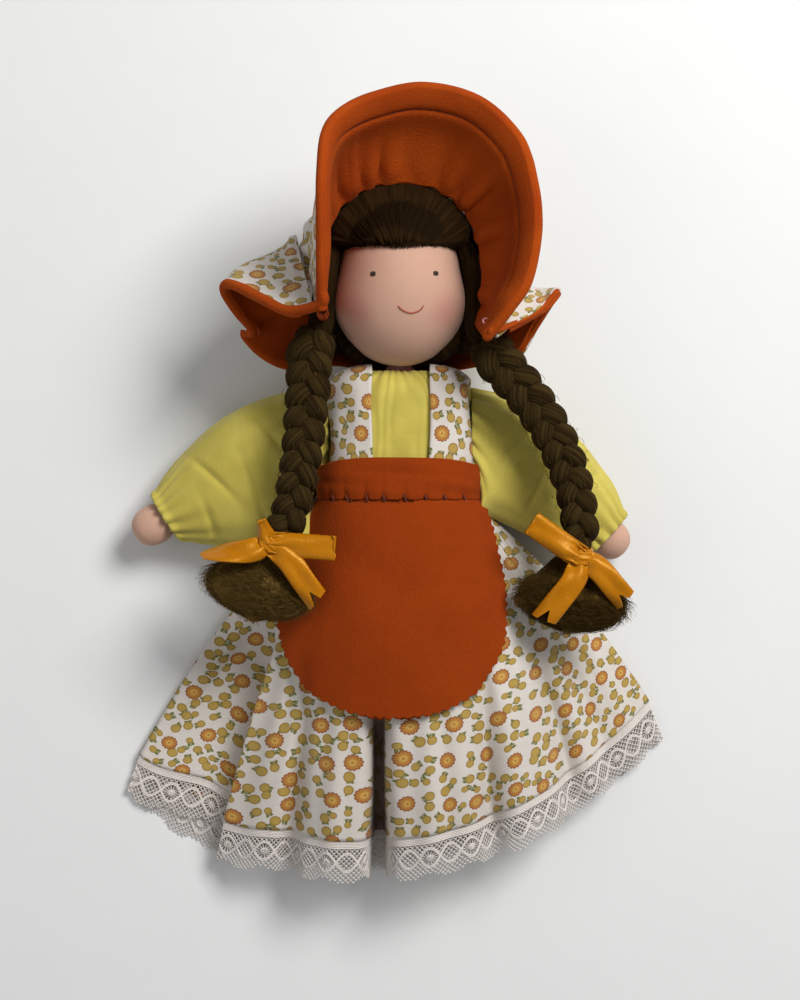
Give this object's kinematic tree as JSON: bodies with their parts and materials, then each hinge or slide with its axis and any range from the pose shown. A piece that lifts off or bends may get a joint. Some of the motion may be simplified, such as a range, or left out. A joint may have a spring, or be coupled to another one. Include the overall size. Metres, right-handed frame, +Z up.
{
  "type": "waldorf doll",
  "caption": "Stuffed cloth doll lying on its back, with a brimmed bonnet, plaited hair with ribbons, puffed sleeves, felt apron and a wide lace-edged skirt.",
  "frame": {"origin": "on the ground under the middle of the doll's box, the doll lying on its back", "axes": "+Y towards the top of the head, +Z up from the ground through the doll's front, +X to the doll's left"},
  "size_m": [0.1674, 0.2335, 0.0753],
  "materials": {
    "skin": "fine cotton knit stretched over wool stuffing",
    "hair": "soft brown wool yarn",
    "yellow_cotton": "plain woven lemon cotton",
    "print_cotton": "white cotton with a small flower print",
    "orange_felt": "matt orange wool felt",
    "lace": "off-white cotton bobbin lace",
    "satin": "glossy gold satin ribbon",
    "thread": "linen thread"
  },
  "bodies": {
    "torso": {"torso": "skin", "blouse_bodice": "yellow_cotton", "skirt": "print_cotton", "hem_lace": "lace", "strap_left": "print_cotton", "strap_right": "print_cotton", "apron_waistband": "orange_felt", "apron_panel": "orange_felt"},
    "head": {"head": "skin", "neck_tie": "thread", "hair_cap": "hair", "bonnet_crown": "print_cotton", "bonnet_brim": "print_cotton", "bonnet_brim_lining": "orange_felt", "bonnet_frill": "print_cotton", "bonnet_frill_lining": "orange_felt"},
    "plait_left": {"plait_left": "hair", "left_plait_tuft": "hair", "hair_ribbon_left": "satin"},
    "plait_right": {"plait_right": "hair", "right_plait_tuft": "hair", "hair_ribbon_right": "satin"},
    "arm_left": {"arm_left": "skin", "sleeve_left": "yellow_cotton"},
    "arm_right": {"arm_right": "skin", "sleeve_right": "yellow_cotton"},
    "leg_left": {"leg_left": "skin"},
    "leg_right": {"leg_right": "skin"}
  },
  "joints": [
    {"name": "head_tilt", "type": "hinge", "parent": "torso", "child": "head", "pos_m": [0.0019, 0.0367, 0.02], "axis": [0, 0, 1], "range_deg": [-3, 4]},
    {"name": "plait_left_lift", "type": "hinge", "parent": "head", "child": "plait_left", "pos_m": [0.026, 0.0451, 0.0362], "axis": [-0.9042, -0.4271, 0], "range_deg": [0, 45]},
    {"name": "plait_right_lift", "type": "hinge", "parent": "head", "child": "plait_right", "pos_m": [-0.0227, 0.0482, 0.0362], "axis": [-0.979, 0.204, 0], "range_deg": [0, 45]},
    {"name": "shoulder_left", "type": "hinge", "parent": "torso", "child": "arm_left", "pos_m": [0.02811, 0.0224, 0.0155], "axis": [0, 0, 1], "range_deg": [0, 20]},
    {"name": "shoulder_right", "type": "hinge", "parent": "torso", "child": "arm_right", "pos_m": [-0.02431, 0.0224, 0.0155], "axis": [0, 0, -1], "range_deg": [0, 20]},
    {"name": "hip_left", "type": "hinge", "parent": "torso", "child": "leg_left", "pos_m": [0.0109, -0.0216, 0.013], "axis": [0, 0, 1], "range_deg": [0, 12]},
    {"name": "hip_right", "type": "hinge", "parent": "torso", "child": "leg_right", "pos_m": [-0.0071, -0.0216, 0.013], "axis": [0, 0, -1], "range_deg": [0, 12]}
  ]
}
